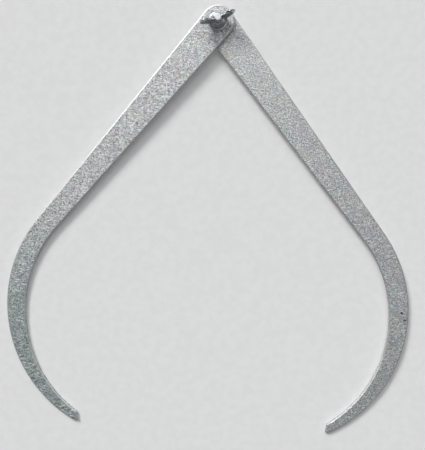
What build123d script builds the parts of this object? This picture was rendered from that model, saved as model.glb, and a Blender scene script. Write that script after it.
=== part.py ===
from build123d import *
import os

# Bow-legged outside caliper: two sheet-metal legs on one bolt, clamped by a wing nut.
# Millimetres. The origin is on the pivot axis at the level that the bolt head rests on.
# +Z runs up the bolt, and the legs spread on both sides of -Y.

# The pair of legs
leg_opening = 76.7
sheet_thickness = 2.0
leg_gap = 0.05
edge_roll_width = 0.6
edge_roll_depth = 0.28

# The leg blank, from the head round to the tip
head_radius = 9.5
edge_lean = 1.33
outer_straight = 154.4
inner_straight = 150.4
inner_bow_radius = 72.7
inner_bow_sweep = 96.4
tip_width = 5.0
nose_length = 3.6
nose_relief = 1.1
tip_corner_round = 0.8

# The bolt
thread_diameter = 4.83
bolt_length = 12.7
bolt_end_chamfer = 0.5
bolt_head_diameter = 11.4
bolt_head_height = 2.5
bolt_head_rim = 0.4
neck_width = 4.9
neck_depth = 1.9
neck_corner_round = 0.4
neck_clearance = 0.05
pivot_clearance = 0.08

# The washer
washer_diameter = 11.1
washer_thickness = 1.2
washer_bore_clearance = 0.25
washer_edge_bevel = 0.4

# The wing nut
nut_gap = 0.05
nut_clearance = 0.04
boss_base_diameter = 9.6
boss_top_diameter = 6.6
boss_height = 4.8
boss_foot = 0.9
boss_top_bevel = 0.45
bore_chamfer = 0.35
wing_spread = 21.0
wing_height = 10.5
wing_thickness = 2.6
wing_lobe_radius = 2.9
wing_edge_round = 0.8
cove_radius = 1.2
wing_azimuth = 21.0

# Levels, each the underside of the piece it names
rear_leg_level = bolt_head_height
front_leg_level = rear_leg_level + sheet_thickness + leg_gap
washer_level = front_leg_level + sheet_thickness
nut_level = washer_level + washer_thickness + nut_gap

# Which way each shank points, in degrees from +X
rear_leg_direction = leg_opening / 2 - 90
front_leg_direction = -leg_opening / 2 - 90

pivot_hole_radius = thread_diameter / 2 + pivot_clearance
square_hole_width = neck_width + 2 * neck_clearance


def leg_outline():
    # The blank lies with its pivot at the origin, its shank along +X and its outer edge at +Y.
    # Both straight edges leave the round head at a tangent, and each bow is one tangent arc.
    with BuildSketch() as blank:
        with BuildLine():
            head = CenterArc((0, 0), head_radius, 90 - edge_lean, 180 + 2 * edge_lean)
            outer_edge = PolarLine(head @ 0, outer_straight, -edge_lean)
            inner_edge = PolarLine(head @ 1, inner_straight, edge_lean)
            inner_bow = JernArc(inner_edge @ 1, inner_edge % 1, inner_bow_radius, -inner_bow_sweep)
            forward = inner_bow % 1
            outward = Vector(-forward.Y, forward.X)
            outer_tip = inner_bow @ 1 + outward * tip_width
            outer_bow = TangentArc(outer_edge @ 1, outer_tip, tangent=outer_edge % 1)
            nose = inner_bow @ 1 + forward * nose_length + outward * (tip_width - nose_relief)
            Polyline(outer_bow @ 1, nose, inner_bow @ 1)
        make_face()
    return blank.sketch


def leg(hole):
    # A leg is cut from sheet, its tip's corners are rounded, and tumbling has rolled its edges down
    # on both faces. The hole is a sketch about the pivot.
    far_corners = leg_outline().vertices().sort_by(Axis.Y)[:3]
    outline = fillet(far_corners, tip_corner_round)
    sheet = extrude(outline, sheet_thickness)
    top = sheet.faces().sort_by(Axis.Z)[-1]
    sheet = chamfer(top.edges(), edge_roll_width, edge_roll_depth, reference=top)
    bottom = sheet.faces().sort_by(Axis.Z)[0]
    sheet = chamfer(bottom.edges(), edge_roll_width, edge_roll_depth, reference=bottom)
    return sheet - extrude(hole, sheet_thickness)


def rear_leg():
    square_hole = Rectangle(square_hole_width, square_hole_width)
    return Pos(Z=rear_leg_level) * Rot(Z=rear_leg_direction) * leg(square_hole)


def front_leg():
    # The same blank turned over, so it mirrors the rear leg.
    turned_over = mirror(leg(Circle(pivot_hole_radius)), about=Plane.XZ)
    return Pos(Z=front_leg_level) * Rot(Z=front_leg_direction) * turned_over


def pivot_bolt():
    # A low domed head, a short square neck in line with the rear leg and a round threaded shank.
    head_radius_at_rim = bolt_head_diameter / 2
    with BuildPart() as bolt:
        with BuildSketch(Plane.XZ):
            with BuildLine():
                dome_end = (head_radius_at_rim, bolt_head_height - bolt_head_rim)
                TangentArc((0, 0), dome_end, tangent=(1, 0))
                Polyline(dome_end, (head_radius_at_rim, bolt_head_height), (0, bolt_head_height), (0, 0))
            make_face()
        revolve(axis=Axis.Z)
        with BuildSketch(Plane.XY.offset(bolt_head_height)):
            RectangleRounded(neck_width, neck_width, neck_corner_round)
        extrude(amount=neck_depth)
        with Locations((0, 0, bolt_head_height)):
            Cylinder(thread_diameter / 2, bolt_length, align=(Align.CENTER, Align.CENTER, Align.MIN))
        chamfer(bolt.edges().group_by(Axis.Z)[-1], bolt_end_chamfer)
    return Rot(Z=rear_leg_direction) * bolt.part


def flat_washer():
    # A punched washer: the punch has turned its upper outer edge down.
    outer_radius = washer_diameter / 2
    bore_radius = thread_diameter / 2 + washer_bore_clearance
    disc = extrude(Circle(outer_radius) - Circle(bore_radius), washer_thickness)
    upper_rim = disc.edges().filter_by(GeomType.CIRCLE).group_by(Axis.Z)[-1].sort_by(SortBy.RADIUS)[-1]
    return Pos(Z=washer_level) * chamfer(upper_rim, washer_edge_bevel)


def nut_boss():
    # The middle of the nut: a short straight foot, then a cone with a bevelled top.
    base_radius = boss_base_diameter / 2
    top_radius = boss_top_diameter / 2
    with BuildPart() as boss:
        with BuildSketch(Plane.XZ):
            Polygon(
                (0, 0),
                (base_radius, 0),
                (base_radius, boss_foot),
                (top_radius, boss_height),
                (0, boss_height),
                align=None,
            )
        revolve(axis=Axis.Z)
        chamfer(boss.edges().group_by(Axis.Z)[-1], boss_top_bevel)
    return boss.part


def tangent_touch(point, centre, radius, side):
    # Where a line from the point touches the circle, on its left (+1) or right (-1) side.
    to_centre = centre - point
    reach = to_centre.length
    tangent_length = (reach**2 - radius**2) ** 0.5
    along = to_centre * (tangent_length / reach) ** 2
    leftward = Vector(-to_centre.Y, to_centre.X)
    across = leftward * (side * radius * tangent_length / reach**2)
    return point + along + across


def wing_outline():
    # One ear in the nut's upright middle plane: a round lobe on two tangent flanks.
    lobe = Vector(wing_spread / 2 - wing_lobe_radius, wing_height - wing_lobe_radius)
    inner_root = Vector(boss_top_diameter / 2 - boss_top_bevel, boss_height - boss_top_bevel)
    outer_root = Vector(boss_base_diameter / 2 - boss_top_bevel, boss_foot)
    middle_root = (thread_diameter / 2, boss_foot)
    inner_touch = tangent_touch(inner_root, lobe, wing_lobe_radius, 1)
    outer_touch = tangent_touch(outer_root, lobe, wing_lobe_radius, -1)
    lobe_top = lobe + Vector(1, 1).normalized() * wing_lobe_radius
    with BuildSketch() as outline:
        with BuildLine():
            ThreePointArc(inner_touch, lobe_top, outer_touch)
            Polyline(outer_touch, outer_root, middle_root, inner_root, inner_touch)
        make_face()
    return Plane.XZ * outline.sketch


def root_web():
    # Fills the corners between an ear's flats and the boss. Each cove is cut by a cone that
    # touches the boss at every height, so the fill fades out towards the top.
    foot_radius = boss_base_diameter / 2
    cone_height = boss_height - boss_foot
    cove_top_radius = cove_radius + (boss_base_diameter - boss_top_diameter) / 2
    centre_y = wing_thickness / 2 + cove_radius
    centre_x = ((foot_radius + cove_radius) ** 2 - centre_y**2) ** 0.5
    web_width = 2 * centre_y * foot_radius / (foot_radius + cove_radius)
    web = Box(centre_x, web_width, cone_height, align=(Align.MIN, Align.CENTER, Align.MIN))
    cove = Cone(cove_radius, cove_top_radius, cone_height, align=(Align.CENTER, Align.CENTER, Align.MIN))
    web = web - Pos(centre_x, centre_y) * cove - Pos(centre_x, -centre_y) * cove
    return Pos(Z=boss_foot) * web


def nut_wing():
    # A flat ear with round rims, and a webbed root that stays inside them.
    outline = wing_outline()
    ear = extrude(outline, wing_thickness / 2, both=True)
    flats = ear.faces().filter_by(Axis.Y)
    ear = fillet(flats.edges(), wing_edge_round)
    within_rims = extrude(offset(outline, -wing_edge_round), boss_base_diameter, both=True)
    return ear + (root_web() & within_rims)


def wing_nut():
    # The boss and its two ears are one forging, bored for the bolt and countersunk at both ends.
    bore_radius = thread_diameter / 2 + nut_clearance
    ear = nut_wing()
    forging = nut_boss() + ear + Rot(Z=180) * ear
    with BuildPart() as nut:
        add(forging)
        Hole(bore_radius)
        mouths = nut.edges(Select.LAST).filter_by(GeomType.CIRCLE)
        chamfer(mouths, bore_chamfer)
    return Pos(Z=nut_level) * Rot(Z=wing_azimuth) * nut.part


pieces = {
    "rear_leg": rear_leg(),
    "front_leg": front_leg(),
    "pivot_bolt": pivot_bolt(),
    "flat_washer": flat_washer(),
    "wing_nut": wing_nut(),
}

os.makedirs("parts", exist_ok=True)
for name, piece in pieces.items():
    export_step(piece, f"parts/{name}.step")
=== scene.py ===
import math

import bmesh
import bpy
import numpy as np
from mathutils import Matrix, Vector


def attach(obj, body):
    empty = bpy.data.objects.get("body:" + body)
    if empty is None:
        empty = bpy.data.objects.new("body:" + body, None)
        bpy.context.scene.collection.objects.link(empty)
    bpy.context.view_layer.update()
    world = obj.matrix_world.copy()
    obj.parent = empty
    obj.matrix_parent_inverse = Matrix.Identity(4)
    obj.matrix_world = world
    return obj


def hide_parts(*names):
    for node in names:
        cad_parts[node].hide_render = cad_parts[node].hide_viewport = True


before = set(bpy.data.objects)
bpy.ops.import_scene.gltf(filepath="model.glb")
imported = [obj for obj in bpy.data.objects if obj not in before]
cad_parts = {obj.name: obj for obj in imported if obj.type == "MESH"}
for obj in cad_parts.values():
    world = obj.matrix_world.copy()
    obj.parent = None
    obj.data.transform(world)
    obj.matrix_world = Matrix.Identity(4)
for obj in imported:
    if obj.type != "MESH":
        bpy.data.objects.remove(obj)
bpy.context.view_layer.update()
print("frame loaded:", sorted(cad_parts))

mm = 0.001
pivotTurn = math.radians(76.7 / 2 - 90)  # the way the rear leg's shank points


# shared mesh helpers


def gridFaces(rows, columns, wrapRows=False, wrapColumns=False):
    # quads between neighbours of a rows x columns grid of points
    rowCount = rows if wrapRows else rows - 1
    columnCount = columns if wrapColumns else columns - 1
    i, j = np.meshgrid(np.arange(rowCount), np.arange(columnCount), indexing="ij")
    nextI, nextJ = (i + 1) % rows, (j + 1) % columns
    corners = [i * columns + j, i * columns + nextJ, nextI * columns + nextJ, nextI * columns + j]
    return np.stack(corners, -1).reshape(-1, 4)


def meshObject(name, points, quads, mergeBy=1e-7):
    # points in millimetres; doubled seam and pole points are merged and the faces turned outwards
    mesh = bpy.data.meshes.new(name)
    mesh.from_pydata((points.reshape(-1, 3) * mm).tolist(), [], quads.tolist())
    work = bmesh.new()
    work.from_mesh(mesh)
    bmesh.ops.remove_doubles(work, verts=work.verts, dist=mergeBy)
    bmesh.ops.recalc_face_normals(work, faces=work.faces)
    work.to_mesh(mesh)
    work.free()
    mesh.shade_smooth()
    piece = bpy.data.objects.new(name, mesh)
    bpy.context.scene.collection.objects.link(piece)
    return piece


def turned(profile, steps=96):
    # a profile of (radius, height) turned about the upright axis: x = r cos a, y = r sin a, z = height
    angle = np.linspace(0, 2 * np.pi, steps, endpoint=False)
    r, z = profile[:, :1], profile[:, 1:]
    return np.stack([r * np.cos(angle), r * np.sin(angle), z + 0 * angle], -1)


def cornerArc(centre, radius, start, end, count=7):
    # points of an arc about centre, from the start angle to the end angle in degrees
    a = np.radians(np.linspace(start, end, count))
    return np.stack([centre[0] + radius * np.cos(a), centre[1] + radius * np.sin(a)], -1)


# shader helpers


def newMaterial(name):
    material = bpy.data.materials.new(name)
    material.use_nodes = True
    nodes, links = material.node_tree.nodes, material.node_tree.links
    return material, nodes, links, nodes["Principled BSDF"]


def mathNode(nodes, links, operation, first, second=None, third=None, clamp=False):
    node = nodes.new("ShaderNodeMath")
    node.operation, node.use_clamp = operation, clamp
    for socket, value in zip(node.inputs, (first, second, third)):
        if value is None:
            continue
        if isinstance(value, (int, float)):
            socket.default_value = value
        else:
            links.new(value, socket)
    return node.outputs[0]


def rangeNode(nodes, links, value, fromLow, fromHigh, toLow=0.0, toHigh=1.0, smooth=True):
    node = nodes.new("ShaderNodeMapRange")
    node.interpolation_type = "SMOOTHSTEP" if smooth else "LINEAR"
    links.new(value, node.inputs["Value"])
    for socket, number in (("From Min", fromLow), ("From Max", fromHigh), ("To Min", toLow), ("To Max", toHigh)):
        if isinstance(number, (int, float)):
            node.inputs[socket].default_value = number
        else:
            links.new(number, node.inputs[socket])
    return node.outputs["Result"]


def mixColour(nodes, links, factor, first, second, blend="MIX"):
    node = nodes.new("ShaderNodeMix")
    node.data_type, node.blend_type, node.clamp_factor = "RGBA", blend, True
    sockets = [s for s in node.inputs if s.enabled]
    for socket, value in zip(sockets, (factor, first, second)):
        if isinstance(value, (int, float)):
            socket.default_value = value
        elif isinstance(value, tuple):
            socket.default_value = (*value, 1.0)
        else:
            links.new(value, socket)
    return [s for s in node.outputs if s.enabled][0]


def noiseNode(nodes, links, vector, scale, detail=3.0, roughness=0.55, distortion=0.0):
    node = nodes.new("ShaderNodeTexNoise")
    links.new(vector, node.inputs["Vector"])
    if isinstance(scale, (int, float)):
        node.inputs["Scale"].default_value = scale
    else:
        links.new(scale, node.inputs["Scale"])
    node.inputs["Detail"].default_value = detail
    node.inputs["Roughness"].default_value = roughness
    node.inputs["Distortion"].default_value = distortion
    return node.outputs["Fac"]


def newGroup(name, inputs, outputs):
    group = bpy.data.node_groups.new(name, "ShaderNodeTree")
    for label, kind, value in inputs:
        socket = group.interface.new_socket(name=label, in_out="INPUT", socket_type=kind)
        socket.default_value = value
    for label, kind in outputs:
        group.interface.new_socket(name=label, in_out="OUTPUT", socket_type=kind)
    return group, group.nodes, group.links, group.nodes.new("NodeGroupInput"), group.nodes.new("NodeGroupOutput")


def useGroup(nodes, group, **values):
    node = nodes.new("ShaderNodeGroup")
    node.node_tree = group
    for label, value in values.items():
        node.inputs[label].default_value = value
    return node


def speckleGroup():
    # tumbled or plated skin: a fine grain, a coarser mottle and soft blotches, each from 0 to 1
    group, nodes, links, given, result = newGroup(
        "speckle",
        [("Grain", "NodeSocketFloat", 900.0), ("Mottle", "NodeSocketFloat", 320.0), ("Blotch", "NodeSocketFloat", 60.0)],
        [("Grain", "NodeSocketFloat"), ("Mottle", "NodeSocketFloat"), ("Blotch", "NodeSocketFloat")],
    )
    place = nodes.new("ShaderNodeTexCoord").outputs["Object"]
    for label, detail, low, high in (("Grain", 2.0, 0.3, 0.7), ("Mottle", 4.0, 0.32, 0.68), ("Blotch", 3.0, 0.3, 0.7)):
        value = noiseNode(nodes, links, place, given.outputs[label], detail)
        links.new(rangeNode(nodes, links, value, low, high, smooth=False), result.inputs[label])
    return group


def edgeGroup():
    # 1 on faces that lean about as far from level as a sheet's rolled edges do
    group, nodes, links, given, result = newGroup(
        "rolledEdge", [("Spread", "NodeSocketFloat", 0.085)], [("Mask", "NodeSocketFloat")]
    )
    split = nodes.new("ShaderNodeSeparateXYZ")
    links.new(nodes.new("ShaderNodeTexCoord").outputs["Normal"], split.inputs[0])
    lean = mathNode(nodes, links, "ABSOLUTE", split.outputs["Z"])
    away = mathNode(nodes, links, "ABSOLUTE", mathNode(nodes, links, "SUBTRACT", lean, 0.9))
    links.new(rangeNode(nodes, links, away, given.outputs["Spread"], 0.03), result.inputs["Mask"])
    return group


def patchGroup():
    # an oval mark lying on the metal: 1 at its middle, fading out over its softness, with a ragged rim
    group, nodes, links, given, result = newGroup(
        "patch",
        [
            ("Centre", "NodeSocketVector", (0.0, 0.0, 0.0)),
            ("Turn", "NodeSocketFloat", 0.0),
            ("Size", "NodeSocketVector", (0.001, 0.001, 0.004)),
            ("Soft", "NodeSocketFloat", 0.4),
            ("Ragged", "NodeSocketFloat", 0.3),
        ],
        [("Mask", "NodeSocketFloat")],
    )
    place = nodes.new("ShaderNodeTexCoord").outputs["Object"]
    shift = nodes.new("ShaderNodeVectorMath")
    shift.operation = "SUBTRACT"
    links.new(place, shift.inputs[0])
    links.new(given.outputs["Centre"], shift.inputs[1])
    turn = nodes.new("ShaderNodeVectorRotate")
    turn.rotation_type = "Z_AXIS"
    links.new(shift.outputs[0], turn.inputs["Vector"])
    links.new(given.outputs["Turn"], turn.inputs["Angle"])
    scale = nodes.new("ShaderNodeVectorMath")
    scale.operation = "DIVIDE"
    links.new(turn.outputs[0], scale.inputs[0])
    links.new(given.outputs["Size"], scale.inputs[1])
    length = nodes.new("ShaderNodeVectorMath")
    length.operation = "LENGTH"
    links.new(scale.outputs[0], length.inputs[0])
    wobble = mathNode(nodes, links, "SUBTRACT", noiseNode(nodes, links, place, 1300.0, 2.0), 0.5)
    far = mathNode(nodes, links, "MULTIPLY_ADD", wobble, given.outputs["Ragged"], length.outputs["Value"])
    inner = mathNode(nodes, links, "SUBTRACT", 1.0, given.outputs["Soft"])
    links.new(rangeNode(nodes, links, far, 1.0, inner), result.inputs["Mask"])
    return group


speckle, rolledEdge, patch = speckleGroup(), edgeGroup(), patchGroup()

legFinish = {
    "metal": (0.62, 0.625, 0.63),
    "pale": (0.97, 0.97, 0.965),
    "dark": (0.15, 0.155, 0.16),
    "cloud": (0.54, 0.55, 0.56),
    # colour of the painted shade multiplied onto the legs' bows
    "bowPaintedShade": (0.74, 0.83, 0.81),
    # lighter colour of the rolled edges: burnished metal, and partly a painted highlight along the rims
    "edgeBurnishAndHighlight": (0.68, 0.68, 0.675),
    "scratchBright": (1.0, 1.0, 1.0),
    "hue": 0.15,
    "roughness": 0.68,
    "grainBump": 0.00010,
}


def shortScratches(nodes, links, place, turn, low, high):
    # bright dashes: noise squeezed across its length, with only its peaks kept
    along = nodes.new("ShaderNodeMapping")
    along.inputs["Rotation"].default_value = (0.0, 0.0, -turn)
    along.inputs["Scale"].default_value = (330.0, 1900.0, 400.0)
    links.new(place, along.inputs["Vector"])
    return rangeNode(nodes, links, noiseNode(nodes, links, along.outputs["Vector"], 1.0, 1.0, 0.5, 0.3), low, high)


def hueClouds(nodes, links, place, scale, amount):
    # faint colour clouds: each channel is 1 less the amount times its own soft noise
    node = nodes.new("ShaderNodeTexNoise")
    links.new(place, node.inputs["Vector"])
    node.inputs["Scale"].default_value = scale
    node.inputs["Detail"].default_value = 2.0
    return mixColour(nodes, links, amount, (1.0, 1.0, 1.0), node.outputs["Color"])


def tumbledAluminium(name, marks, bowPaintedShade, turn):
    # sheet aluminium, tumbled after blanking: pale grey with a fine dark and light speckle
    material, nodes, links, shader = newMaterial(name)
    skin = useGroup(nodes, speckle, Grain=1750.0, Mottle=1150.0, Blotch=130.0)
    colour = mixColour(nodes, links, rangeNode(nodes, links, skin.outputs["Mottle"], 0.35, 0.85), legFinish["metal"], legFinish["pale"])
    darker = mathNode(nodes, links, "MULTIPLY", rangeNode(nodes, links, skin.outputs["Grain"], 0.52, 0.08), 0.9)
    colour = mixColour(nodes, links, darker, colour, legFinish["dark"])
    cloud = mathNode(nodes, links, "MULTIPLY", rangeNode(nodes, links, skin.outputs["Blotch"], 0.4, 0.0), 0.30)
    colour = mixColour(nodes, links, cloud, colour, legFinish["cloud"])
    place = nodes.new("ShaderNodeTexCoord").outputs["Object"]
    split = nodes.new("ShaderNodeSeparateXYZ")
    links.new(place, split.inputs[0])
    # painted shade: each leg darkens along its bow, from y = -0.10 m to -0.19 m, by the bow shade colour times the
    # given strength
    bowShadeMask = rangeNode(nodes, links, split.outputs["Y"], -0.10, -0.19)
    colour = mixColour(nodes, links, mathNode(nodes, links, "MULTIPLY", bowShadeMask, bowPaintedShade), colour, legFinish["bowPaintedShade"], "MULTIPLY")
    colour = mixColour(nodes, links, 1.0, colour, hueClouds(nodes, links, place, 150.0, legFinish["hue"]), "MULTIPLY")
    for lean, low, high in ((turn + 0.35, 0.62, 0.70), (turn - 0.9, 0.64, 0.72)):
        scratch = shortScratches(nodes, links, place, lean, low, high)
        colour = mixColour(nodes, links, mathNode(nodes, links, "MULTIPLY", scratch, 0.75), colour, legFinish["scratchBright"])
    roughness = mathNode(nodes, links, "MULTIPLY_ADD", skin.outputs["Mottle"], 0.12, legFinish["roughness"] - 0.06)
    for mark in marks:
        spot = useGroup(nodes, patch, Centre=mark["centre"], Turn=mark["turn"], Size=mark["size"], Soft=mark["soft"], Ragged=mark["ragged"])
        strength = mathNode(nodes, links, "MULTIPLY", spot.outputs["Mask"], mark["strength"])
        colour = mixColour(nodes, links, strength, colour, mark["colour"])
    # the rolled edges get a lighter, smoother skin: burnished metal, and partly a painted highlight along the rims
    edge = useGroup(nodes, rolledEdge)
    colour = mixColour(nodes, links, mathNode(nodes, links, "MULTIPLY", edge.outputs["Mask"], 0.8), colour, legFinish["edgeBurnishAndHighlight"])
    roughness = mathNode(nodes, links, "MULTIPLY_ADD", edge.outputs["Mask"], -0.16, roughness)
    links.new(colour, shader.inputs["Base Color"])
    links.new(roughness, shader.inputs["Roughness"])
    shader.inputs["Metallic"].default_value = 1.0
    bump = nodes.new("ShaderNodeBump")
    bump.inputs["Strength"].default_value = 0.45
    bump.inputs["Distance"].default_value = legFinish["grainBump"]
    height = mathNode(nodes, links, "MULTIPLY_ADD", skin.outputs["Mottle"], 1.5, skin.outputs["Grain"])
    links.new(height, bump.inputs["Height"])
    links.new(bump.outputs["Normal"], shader.inputs["Normal"])
    return material


rearMarks = [
    {"centre": (0.11234, -0.16262, 0.0045), "turn": 0.0, "size": (0.0009, 0.0009, 0.002), "soft": 0.4, "ragged": 0.4, "strength": 0.85, "colour": (0.08, 0.08, 0.09)},
    {"centre": (0.11418, -0.16679, 0.0045), "turn": 0.0, "size": (0.0010, 0.0008, 0.002), "soft": 0.4, "ragged": 0.4, "strength": 0.8, "colour": (0.10, 0.10, 0.10)},
    {"centre": (0.10817, -0.16076, 0.0045), "turn": 0.5, "size": (0.0026, 0.0048, 0.002), "soft": 0.8, "ragged": 0.5, "strength": 0.45, "colour": (0.50, 0.60, 0.66)},
    {"centre": (0.10850, -0.18110, 0.0045), "turn": 0.4, "size": (0.0055, 0.0007, 0.002), "soft": 0.7, "ragged": 0.8, "strength": 0.5, "colour": (0.36, 0.37, 0.38)},
    {"centre": (0.10900, -0.17850, 0.0045), "turn": 0.7, "size": (0.0048, 0.0005, 0.002), "soft": 0.7, "ragged": 0.8, "strength": 0.45, "colour": (0.40, 0.41, 0.42)},
]
frontMarks = [
    {"centre": (-0.09720, -0.12460, 0.00655), "turn": 0.25, "size": (0.0040, 0.0006, 0.002), "soft": 0.7, "ragged": 0.8, "strength": 0.55, "colour": (0.38, 0.39, 0.40)},
    {"centre": (-0.09850, -0.12620, 0.00655), "turn": 0.1, "size": (0.0030, 0.0005, 0.002), "soft": 0.7, "ragged": 0.8, "strength": 0.4, "colour": (0.42, 0.43, 0.44)},
]
# the third argument is how strong the painted shade on each leg's bow is
frontAluminium = tumbledAluminium("frontAluminium", frontMarks, 0.9, -pivotTurn - math.pi)
rearAluminium = tumbledAluminium("rearAluminium", rearMarks, 0.20, pivotTurn)
for nodeName, material in (("front_leg", frontAluminium), ("rear_leg", rearAluminium)):
    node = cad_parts[nodeName]
    node.data.materials.clear()
    node.data.materials.append(material)
print("legs finished")

plateFinish = {"metal": (0.64, 0.66, 0.67), "dull": (0.30, 0.31, 0.32), "worn": (0.70, 0.69, 0.63)}


def zincPlate(name, roughness, tone=1.0):
    # bright zinc plating: smooth, a little clouded, with dull specks where it has worn; tone darkens it all
    material, nodes, links, shader = newMaterial(name)
    skin = useGroup(nodes, speckle, Grain=5200.0, Mottle=1500.0, Blotch=420.0)
    dull = mathNode(nodes, links, "MULTIPLY", rangeNode(nodes, links, skin.outputs["Mottle"], 0.4, 0.0), 0.55)
    colour = mixColour(nodes, links, dull, plateFinish["metal"], plateFinish["dull"])
    cloud = mathNode(nodes, links, "MULTIPLY", rangeNode(nodes, links, skin.outputs["Blotch"], 0.55, 1.0), 0.30)
    colour = mixColour(nodes, links, cloud, colour, plateFinish["worn"])
    colour = mixColour(nodes, links, 1.0, colour, (tone, tone, tone), "MULTIPLY")
    rough = mathNode(nodes, links, "MULTIPLY_ADD", skin.outputs["Mottle"], 0.10, roughness - 0.04)
    rough = mathNode(nodes, links, "MULTIPLY_ADD", dull, 0.35, rough)
    links.new(colour, shader.inputs["Base Color"])
    links.new(rough, shader.inputs["Roughness"])
    shader.inputs["Metallic"].default_value = 1.0
    bump = nodes.new("ShaderNodeBump")
    bump.inputs["Strength"].default_value = 0.25
    bump.inputs["Distance"].default_value = 0.00003
    links.new(mathNode(nodes, links, "MULTIPLY_ADD", skin.outputs["Mottle"], 2.0, skin.outputs["Grain"]), bump.inputs["Height"])
    links.new(bump.outputs["Normal"], shader.inputs["Normal"])
    return material


zincNut, zincBolt, zincWasher = zincPlate("zincNut", 0.12, 0.70), zincPlate("zincBolt", 0.20), zincPlate("zincWasher", 0.18)

boltSizes = {
    "headRadius": 5.7, "headTop": 2.5, "domeRim": 2.1, "neckHalf": 2.44, "neckEnd": 4.4,
    "threadRadius": 2.41, "threadDepth": 0.55, "pitch": 25.4 / 24, "top": 15.18, "endBevel": 0.5,
}


def threadedBolt():
    # One surface of revolution whose radius also depends on the angle: along the neck it is a square with
    # soft corners, and along the shank a V thread, where the radius drops by the depth times how far the
    # point is from the crest, counted in turns of (height / pitch - angle / full turn).
    s = boltSizes
    angle = np.linspace(0, 2 * np.pi, 96, endpoint=False)
    rise = s["domeRim"]
    ballRadius = (s["headRadius"] ** 2 + rise**2) / (2 * rise)
    lean = np.linspace(0, math.asin(s["headRadius"] / ballRadius), 14)
    dome = np.stack([ballRadius * np.sin(lean), ballRadius - ballRadius * np.cos(lean)], -1)
    rim = cornerArc((s["headRadius"] - 0.12, s["headTop"] - 0.12), 0.12, 0, 90, 4)
    head = np.vstack([dome, rim, [[4.6, s["headTop"]], [3.6, s["headTop"]]]])
    neckLevels = np.array([2.5, 2.6, 3.2, 3.9, 4.25, 4.4])
    softSquare = s["neckHalf"] / (np.abs(np.cos(angle)) ** 9 + np.abs(np.sin(angle)) ** 9) ** (1 / 9)
    rows = [np.stack([np.full(96, r), np.full(96, z)], -1) for r, z in head]
    rows += [np.stack([softSquare, np.full(96, z)], -1) for z in neckLevels]
    levels = np.linspace(s["neckEnd"], s["top"], 190)
    phase = (levels[:, None] / s["pitch"] - angle / (2 * np.pi)) % 1.0
    fromCrest = np.clip((1 - np.abs(2 * phase - 1) - 0.12) / 0.74, 0, 1)
    radius = s["threadRadius"] - s["threadDepth"] * fromCrest
    limit = s["threadRadius"] - np.clip(levels[:, None] - (s["top"] - s["endBevel"]), 0, None)
    radius = np.minimum(radius, limit)
    rows += [np.stack([radius[i], np.full(96, z)], -1) for i, z in enumerate(levels)]
    rows += [np.stack([radius[-1] * k, np.full(96, s["top"] + 0.02 * (1 - k))], -1) for k in (0.9, 0.5, 0.0)]
    polar = np.array(rows)
    turn = angle + pivotTurn
    points = np.stack([polar[..., 0] * np.cos(turn), polar[..., 0] * np.sin(turn), polar[..., 1]], -1)
    return meshObject("threaded_bolt", points, gridFaces(len(rows), 96, wrapColumns=True), 1e-6)


bolt = threadedBolt()
bolt.data.materials.append(zincBolt)
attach(bolt, "bolt")
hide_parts("pivot_bolt")
print("bolt made")

washerSizes = {"bore": 2.665, "outer": 5.55, "low": 6.55, "high": 7.75, "roll": 0.55, "soft": 0.1}


def rolledWasher():
    # a closed section turned about the bolt: a quarter arc rolls the upper outer rim down
    s = washerSizes
    section = np.vstack([
        cornerArc((s["outer"] - s["soft"], s["low"] + s["soft"]), s["soft"], -90, 0, 4),
        cornerArc((s["outer"] - s["roll"], s["high"] - s["roll"]), s["roll"], 0, 90, 10),
        [[4.2, s["high"]], [3.3, s["high"]]],
        cornerArc((s["bore"] + s["soft"], s["high"] - s["soft"]), s["soft"], 90, 180, 4),
        cornerArc((s["bore"] + s["soft"], s["low"] + s["soft"]), s["soft"], 180, 270, 4),
        [[4.2, s["low"]]],
    ])
    return meshObject("rolled_washer", turned(section, 120), gridFaces(len(section), 120, True, True))


washer = rolledWasher()
washer.data.materials.append(zincWasher)
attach(washer, "upper_leg")
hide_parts("flat_washer")
print("washer made")

nutSizes = {
    "low": 7.8, "bore": 2.5, "footRadius": 4.8, "footHeight": 0.9, "topRadius": 3.3, "height": 4.8,
    "lobe": (7.6, 7.6), "lobeRadius": 2.9, "root": (2.9, 2.1), "rootHalf": 1.75,
    "thickness": 1.3, "rootFlare": 0.9, "turn": math.radians(21), "voxel": 0.11,
}


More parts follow.
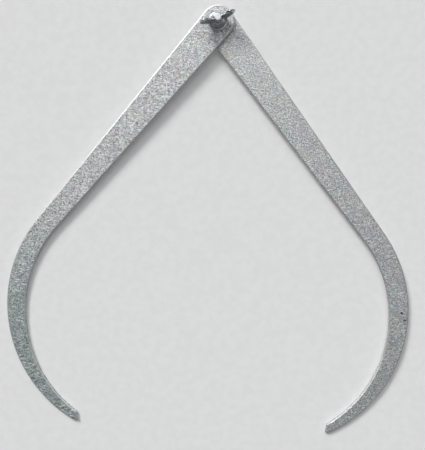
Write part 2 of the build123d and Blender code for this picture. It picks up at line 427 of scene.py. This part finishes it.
def nutShell():
    # boss: a closed section turned about the bolt. Ears: sections carried along a straight line from the
    # root to the lobe. Each section is a rounded oblong, |x / w|^3 + |y / h|^3 = 1; w widens along the flanks and
    # then follows the lobe's circle down to nothing, and h swells towards the root.
    s = nutSizes
    boss = np.vstack([
        cornerArc((s["footRadius"] - 0.25, 0.25), 0.25, -90, 0, 4),
        [[s["footRadius"], s["footHeight"]]],
        cornerArc((s["topRadius"] - 0.45, s["height"] - 0.5), 0.5, 20, 90, 6),
        [[s["bore"] + 0.3, s["height"]], [s["bore"], s["height"] - 0.3], [s["bore"], 0.3], [s["bore"] + 0.3, 0]],
    ])
    bossPoints = turned(boss, 96)
    bossFaces = gridFaces(len(boss), 96, True, True)
    start, end = np.array(s["root"]), np.array(s["lobe"])
    reach = np.linalg.norm(end - start)
    forward = (end - start) / reach
    side = np.array([-forward[1], forward[0]])
    position = np.concatenate([np.linspace(-0.6, reach, 26), reach + s["lobeRadius"] * np.sin(np.linspace(0.06, np.pi / 2, 16))])
    flank = s["rootHalf"] + (s["lobeRadius"] - s["rootHalf"]) * np.clip(position / reach, 0, 1) ** 0.9
    past = np.clip((position - reach) / s["lobeRadius"], 0, 1)
    width = flank * np.sqrt(1 - past**2)
    outward = np.clip((position - 0.35 * reach) / (0.65 * reach + s["lobeRadius"]), 0, 1)
    depth = s["thickness"] * (1 - outward**3.2) ** 0.55 + s["rootFlare"] * np.exp(-np.clip(position - 0.9, 0, None) / 0.8)
    around = np.linspace(0, 2 * np.pi, 40, endpoint=False)
    acrossUnit = np.sign(np.cos(around)) * np.abs(np.cos(around)) ** (2 / 3)
    outUnit = np.sign(np.sin(around)) * np.abs(np.sin(around)) ** (2 / 3)
    middle = start + position[:, None] * forward
    x = middle[:, :1] + side[0] * width[:, None] * acrossUnit
    z = middle[:, 1:] + side[1] * width[:, None] * acrossUnit
    y = depth[:, None] * outUnit
    ear = np.stack([x, y, z], -1)
    cap = ear[:1].mean(1, keepdims=True) + 0 * ear[:1]
    ear = np.concatenate([cap, ear])
    other = ear * np.array([-1, -1, 1])
    earFaces = gridFaces(len(ear), 40, wrapColumns=True)
    points = np.concatenate([bossPoints.reshape(-1, 3), ear.reshape(-1, 3), other.reshape(-1, 3)])
    offset = bossPoints.reshape(-1, 3).shape[0]
    faces = np.concatenate([bossFaces, earFaces + offset, earFaces + offset + ear.reshape(-1, 3).shape[0]])
    c, k = math.cos(s["turn"]), math.sin(s["turn"])
    points = points @ np.array([[c, k, 0], [-k, c, 0], [0, 0, 1]]) + np.array([0, 0, s["low"]])
    return meshObject("forged_wing_nut", points, faces, 1e-6)


def forgedNut():
    # the three shells are fused by a voxel remesh and smoothed, so the ears run softly into the boss
    piece = nutShell()
    fuse = piece.modifiers.new("fuse", "REMESH")
    fuse.mode, fuse.voxel_size = "VOXEL", nutSizes["voxel"] * mm
    soften = piece.modifiers.new("soften", "SMOOTH")
    soften.factor, soften.iterations = 0.5, 9
    graph = bpy.context.evaluated_depsgraph_get()
    finished = bpy.data.meshes.new_from_object(piece.evaluated_get(graph))
    piece.modifiers.clear()
    piece.data = finished
    finished.shade_smooth()
    return piece


nut = forgedNut()
nut.data.materials.clear()
nut.data.materials.append(zincNut)
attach(nut, "nut")
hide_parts("wing_nut")
print("nut made:", len(nut.data.polygons), "faces")

stageLook = {
    "pale": (0.88, 0.87, 0.865), "grain": (0.85, 0.84, 0.835), "glow": 0.050,
    "reach": 9.0, "tiltX": -0.013626, "tiltY": -0.014961,
}


def paleFloor():
    # a plane z = tiltX x + tiltY y through the three points that the tool stands on
    s = stageLook
    corners = np.array([[-1, -1], [1, -1], [1, 1], [-1, 1]]) * s["reach"]
    z = corners @ np.array([s["tiltX"], s["tiltY"]]) - 0.00002
    mesh = bpy.data.meshes.new("floor")
    mesh.from_pydata(np.column_stack([corners, z]).tolist(), [], [[0, 1, 2, 3]])
    floor = bpy.data.objects.new("floor", mesh)
    bpy.context.scene.collection.objects.link(floor)
    material, nodes, links, shader = newMaterial("floorPaint")
    place = nodes.new("ShaderNodeTexCoord").outputs["Object"]
    grain = rangeNode(nodes, links, noiseNode(nodes, links, place, 240.0, 3.0), 0.35, 0.65)
    links.new(mixColour(nodes, links, grain, s["grain"], s["pale"]), shader.inputs["Base Color"])
    shader.inputs["Roughness"].default_value = 0.85
    shader.inputs["Emission Color"].default_value = (0.95, 0.94, 0.93, 1.0)
    path = nodes.new("ShaderNodeLightPath")
    seen = mathNode(nodes, links, "MAXIMUM", path.outputs["Is Camera Ray"], path.outputs["Is Glossy Ray"])
    seen = mathNode(nodes, links, "MAXIMUM", seen, path.outputs["Is Transmission Ray"])
    links.new(mathNode(nodes, links, "MULTIPLY", seen, s["glow"]), shader.inputs["Emission Strength"])
    mesh.materials.append(material)
    return floor


paleFloor()

keyLook = {"azimuth": 124.0, "elevation": 35.0, "softness": 22.0, "strength": 1.97}


def keyLamp():
    # even light from the upper left, low enough to throw the shadow that the photograph shows
    lamp = bpy.data.lights.new("keyLamp", "SUN")
    lamp.angle, lamp.energy = math.radians(keyLook["softness"]), keyLook["strength"]
    holder = bpy.data.objects.new("keyLamp", lamp)
    bpy.context.scene.collection.objects.link(holder)
    around, up = math.radians(keyLook["azimuth"]), math.radians(keyLook["elevation"])
    lampWay = Vector((math.cos(around) * math.cos(up), math.sin(around) * math.cos(up), math.sin(up)))
    holder.location = lampWay
    holder.rotation_euler = (-lampWay).to_track_quat("-Z", "Y").to_euler()


keyLamp()

# the sky: a pale horizon, a dimmer band above it, and soft bright parts overhead, each with the way
# it lies, the cosines where it starts and is full, and its strength
skyLook = {
    "colour": (0.95, 0.98, 1.0),
    "horizon": 0.45, "horizonTop": 0.30, "middle": 0.12,
    "parts": [
        ((0.00, 0.60, 0.80), 0.80, 1.0, 1.60),
        ((0.40, -0.30, 0.87), 0.80, 1.0, 0.19),
    ],
}


def studioWorld():
    # strength = a band that fades from the horizon's to the middle's, plus the sum over the parts of
    # strength times a smooth step of the cosine to the part's middle
    world = bpy.data.worlds.new("studio")
    world.use_nodes = True
    nodes, links = world.node_tree.nodes, world.node_tree.links
    facing = nodes.new("ShaderNodeTexCoord").outputs["Generated"]
    split = nodes.new("ShaderNodeSeparateXYZ")
    links.new(facing, split.inputs[0])
    height = mathNode(nodes, links, "ABSOLUTE", split.outputs["Z"])
    total = rangeNode(nodes, links, height, 0.0, skyLook["horizonTop"], skyLook["horizon"], skyLook["middle"])
    for way, low, high, strength in skyLook["parts"]:
        towards = nodes.new("ShaderNodeVectorMath")
        towards.operation = "DOT_PRODUCT"
        links.new(facing, towards.inputs[0])
        towards.inputs[1].default_value = Vector(way).normalized()
        part = rangeNode(nodes, links, towards.outputs["Value"], low, high, 0.0, strength)
        total = mathNode(nodes, links, "ADD", part, total)
    links.new(total, nodes["Background"].inputs["Strength"])
    nodes["Background"].inputs["Color"].default_value = (*skyLook["colour"], 1.0)
    bpy.context.scene.world = world


studioWorld()

cameraData = bpy.data.cameras.new("camera")
cameraData.lens = 643.5 * 36 / 450  # the photograph's long side is 450 pixels
cameraData.sensor_width = 36
cameraData.clip_start, cameraData.clip_end = 0.01, 20
camera = bpy.data.objects.new("camera", cameraData)
bpy.context.scene.collection.objects.link(camera)
camera.location = (0.01656, -0.11122, 0.37670)
camera.rotation_euler = [math.radians(a) for a in (-0.771, 2.314, 2.450)]
bpy.context.scene.camera = camera
bpy.context.scene.view_settings.view_transform = "Standard"
